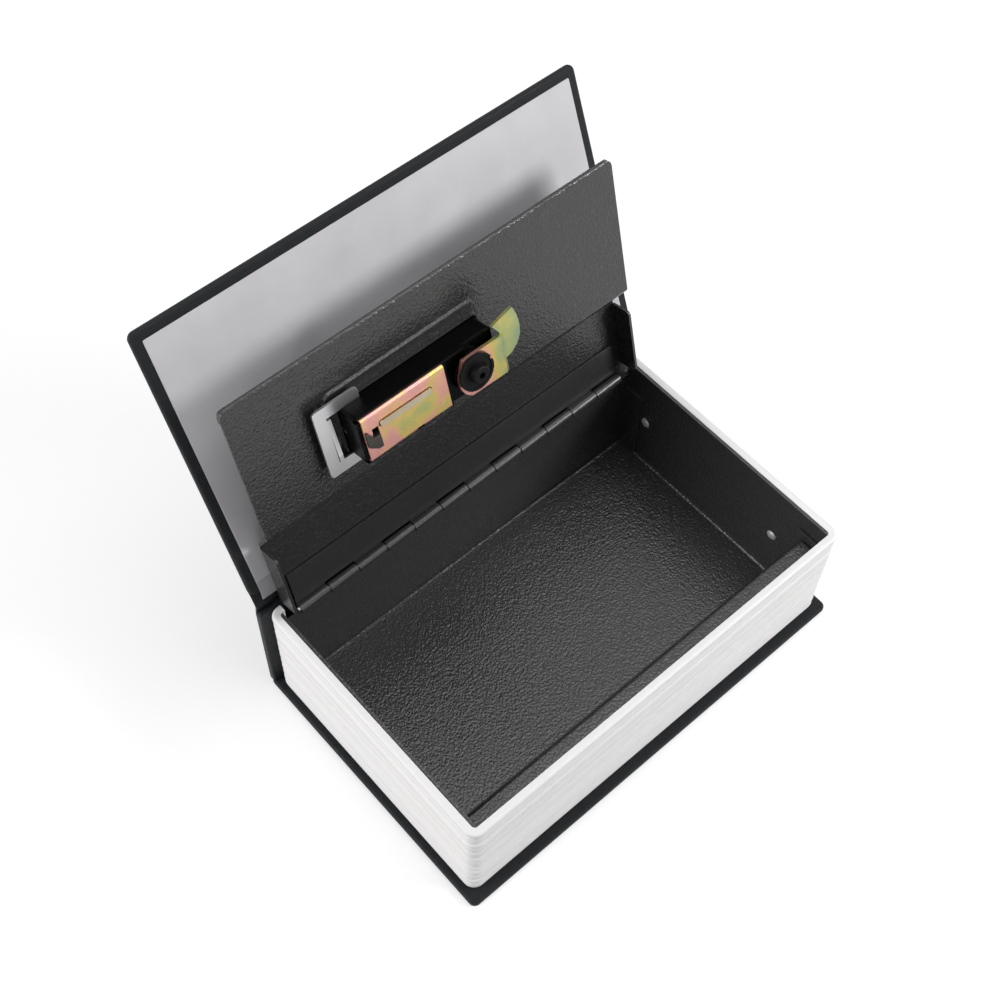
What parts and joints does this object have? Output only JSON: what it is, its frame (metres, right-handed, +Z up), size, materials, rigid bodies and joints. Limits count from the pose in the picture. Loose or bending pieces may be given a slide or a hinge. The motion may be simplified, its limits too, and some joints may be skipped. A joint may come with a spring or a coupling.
{
  "type": "book diversion safe",
  "caption": "Small steel cash box hidden in a hard-cover book shell, with a combination cam lock on its hinged inner lid.",
  "frame": {"origin": "centre of the underside of the back board", "axes": "+X along the spine, to the right when facing the open side; +Y towards the spine; +Z up"},
  "size_m": [0.178, 0.1578, 0.1635],
  "materials": {
    "leatherette": "near-black grained leatherette over board",
    "page_plastic": "satin white moulding ribbed like page edges",
    "endpaper": "matte pale grey paper",
    "hammered_paint": "dark grey hammered paint on pressed steel",
    "bright_steel": "bright nickelled steel",
    "black_moulding": "satin black moulded plastic",
    "yellow_zinc": "yellow passivated zinc on steel, iridescent",
    "grey_metal": "satin grey metal",
    "dial_black": "satin black with pale digits"
  },
  "bodies": {
    "safe_body": {"back_board": "leatherette", "spine_board": "leatherette", "spine_cloth": "leatherette", "page_block": "page_plastic", "cash_tray": "hammered_paint", "front_wall": "hammered_paint", "tray_rivet_1": "bright_steel", "tray_rivet_2": "bright_steel", "tray_rivet_3": "bright_steel", "tray_rivet_4": "bright_steel", "body_hinge_leaf": "hammered_paint", "hinge_pin": "bright_steel"},
    "lid": {"lid_hinge_leaf": "hammered_paint", "lid_panel": "hammered_paint", "lock_case": "black_moulding", "wheel_shaft": "bright_steel", "detent_spring": "grey_metal", "lock_cover_plate": "yellow_zinc", "retaining_clip": "bright_steel"},
    "cam_set": {"spindle": "grey_metal", "turn_knob": "black_moulding", "cam": "yellow_zinc", "cam_nut": "black_moulding"},
    "wheel_1": {"dial_wheel_1": "dial_black"},
    "wheel_2": {"dial_wheel_2": "dial_black"},
    "wheel_3": {"dial_wheel_3": "dial_black"},
    "code_slider": {"code_lever": "grey_metal"},
    "cover": {"hinge_cloth": "leatherette", "front_board": "leatherette", "front_endpaper": "endpaper"}
  },
  "joints": [
    {"name": "lid_hinge", "type": "hinge", "parent": "safe_body", "child": "lid", "pos_m": [0, 0.04965, 0.0501], "axis": [1, 0, 0], "range_deg": [0, 105.4]},
    {"name": "cover_fold", "type": "hinge", "parent": "safe_body", "child": "cover", "pos_m": [0, 0.05725, 0.0571], "axis": [1, 0, 0], "range_deg": [0, 112.4]},
    {"name": "cam_turn", "type": "hinge", "parent": "lid", "child": "cam_set", "pos_m": [0.0016, 0.04835, 0.12068], "axis": [0, -0.9641, 0.2656], "range_deg": [0, 60]},
    {"name": "wheel_1_turn", "type": "hinge", "parent": "lid", "child": "wheel_1", "pos_m": [-0.0346, 0.05876, 0.11781], "axis": [1, 0, 0], "continuous": true},
    {"name": "wheel_2_turn", "type": "hinge", "parent": "lid", "child": "wheel_2", "pos_m": [-0.0258, 0.05876, 0.11781], "axis": [1, 0, 0], "continuous": true},
    {"name": "wheel_3_turn", "type": "hinge", "parent": "lid", "child": "wheel_3", "pos_m": [-0.017, 0.05876, 0.11781], "axis": [1, 0, 0], "continuous": true},
    {"name": "code_lever_slide", "type": "slide", "parent": "lid", "child": "code_slider", "axis": [0, 0.2656, 0.9641], "range_m": [0, 0.0024]}
  ],
  "couplings": [
    {"joint": "cover_fold", "follows": "lid_hinge", "ratio": 1.0664}
  ]
}
